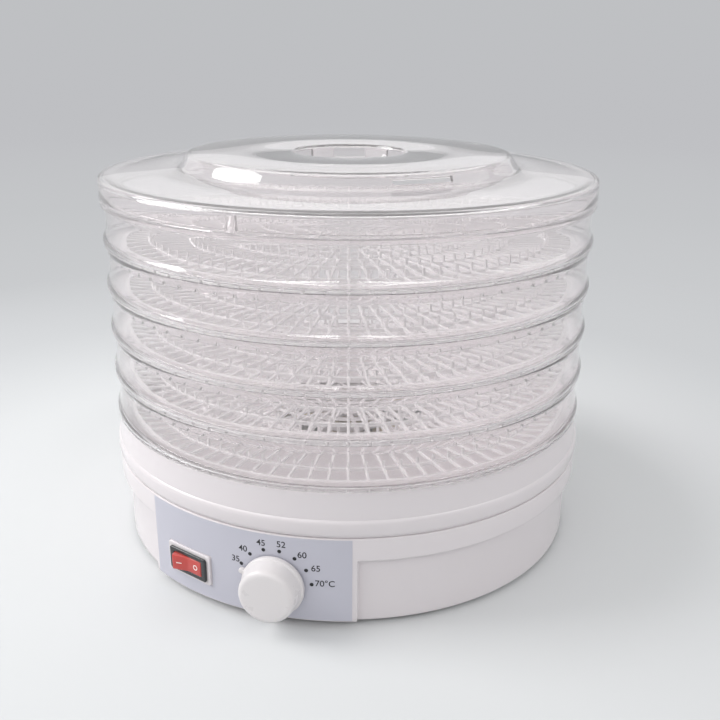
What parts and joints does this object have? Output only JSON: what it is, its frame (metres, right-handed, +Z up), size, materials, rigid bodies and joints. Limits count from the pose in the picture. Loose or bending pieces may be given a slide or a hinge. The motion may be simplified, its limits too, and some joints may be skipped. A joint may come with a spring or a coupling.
{
  "type": "food dehydrator",
  "caption": "Round countertop food dehydrator: white base with dial and rocker switch, stacked clear trays and a clear vented lid.",
  "frame": {"origin": "centre of the round footprint, on the worktop", "axes": "+Z up along the stack's axis; the control panel faces -Y and the cord gland faces +Y"},
  "size_m": [0.3246, 0.3403, 0.2561],
  "materials": {
    "housing_white": "glossy moulded plastic",
    "cover_white": "satin moulded plastic",
    "foot_rubber": "matte",
    "screw_steel": "zinc plated",
    "label_film": "satin printed film",
    "print_black": "printed ink",
    "gland_black": "moulded nylon",
    "switch_black": "glossy moulded plastic",
    "terminal_brass": "plated",
    "rocker_red": "translucent glossy plastic",
    "knob_white": "glossy moulded plastic",
    "shaft_steel": "turned steel",
    "phenolic": "moulded phenolic",
    "block_nylon": "moulded nylon",
    "laminated_steel": "stacked laminations, lacquered",
    "copper_winding": "enamelled wire, taped",
    "cast_alloy": "die cast",
    "rotor_metal": "turned",
    "fan_plastic": "moulded plastic",
    "duct_steel": "galvanised sheet",
    "mica_board": "mica sheet",
    "heater_wire": "oxidised resistance wire",
    "tray_clear": "clear moulded plastic, glossy",
    "lid_clear": "clear moulded plastic, glossy"
  },
  "bodies": {
    "base": {"lower_housing": "housing_white", "upper_housing": "housing_white", "air_grille": "housing_white", "bottom_cover": "cover_white", "feet": "foot_rubber", "cover_screws": "screw_steel", "panel_label": "label_film", "dial_marks": "print_black", "cord_gland": "gland_black", "switch_body": "switch_black", "switch_terminals": "terminal_brass", "thermostat": "phenolic", "thermostat_nut": "screw_steel", "terminal_block": "block_nylon", "terminal_screws": "terminal_brass", "motor_stator": "laminated_steel", "motor_coil": "copper_winding", "lower_bearing_bar": "cast_alloy", "upper_bearing_bar": "cast_alloy", "motor_bolts": "screw_steel", "air_duct": "duct_steel", "duct_screws": "screw_steel", "heater_boards": "mica_board", "heater_coil": "heater_wire", "thermal_cutout": "phenolic", "thermal_fuse": "shaft_steel"},
    "dial": {"knob": "knob_white", "dial_shaft": "shaft_steel"},
    "switch_rocker": {"rocker": "rocker_red"},
    "fan_rotor": {"motor_rotor": "rotor_metal", "motor_shaft": "shaft_steel", "fan": "fan_plastic", "fan_nut": "terminal_brass"},
    "tray_1": {"tray_1": "tray_clear"},
    "tray_2": {"tray_2": "tray_clear"},
    "tray_3": {"tray_3": "tray_clear"},
    "tray_4": {"tray_4": "tray_clear"},
    "tray_5": {"tray_5": "tray_clear"},
    "lid": {"lid": "lid_clear"}
  },
  "joints": [
    {"name": "dial_turn", "type": "hinge", "parent": "base", "child": "dial", "pos_m": [0.0225, -0.16013, 0.0277], "axis": [-0.1392, 0.9903, 0], "range_deg": [0, 153]},
    {"name": "rocker_tilt", "type": "hinge", "parent": "base", "child": "switch_rocker", "pos_m": [-0.03604, -0.15609, 0.0253], "axis": [0, 0, 1], "range_deg": [-20, 0]},
    {"name": "fan_spin", "type": "hinge", "parent": "base", "child": "fan_rotor", "pos_m": [0, 0, 0.04], "axis": [0, 0, 1], "continuous": true},
    {"name": "tray_1_lift", "type": "slide", "parent": "base", "child": "tray_1", "axis": [0, 0, 1], "range_m": [0, 0.06]},
    {"name": "tray_2_lift", "type": "slide", "parent": "tray_1", "child": "tray_2", "axis": [0, 0, 1], "range_m": [0, 0.06]},
    {"name": "tray_3_lift", "type": "slide", "parent": "tray_2", "child": "tray_3", "axis": [0, 0, 1], "range_m": [0, 0.06]},
    {"name": "tray_4_lift", "type": "slide", "parent": "tray_3", "child": "tray_4", "axis": [0, 0, 1], "range_m": [0, 0.06]},
    {"name": "tray_5_lift", "type": "slide", "parent": "tray_4", "child": "tray_5", "axis": [0, 0, 1], "range_m": [0, 0.06]},
    {"name": "lid_lift", "type": "slide", "parent": "tray_5", "child": "lid", "axis": [0, 0, 1], "range_m": [0, 0.06]}
  ]
}
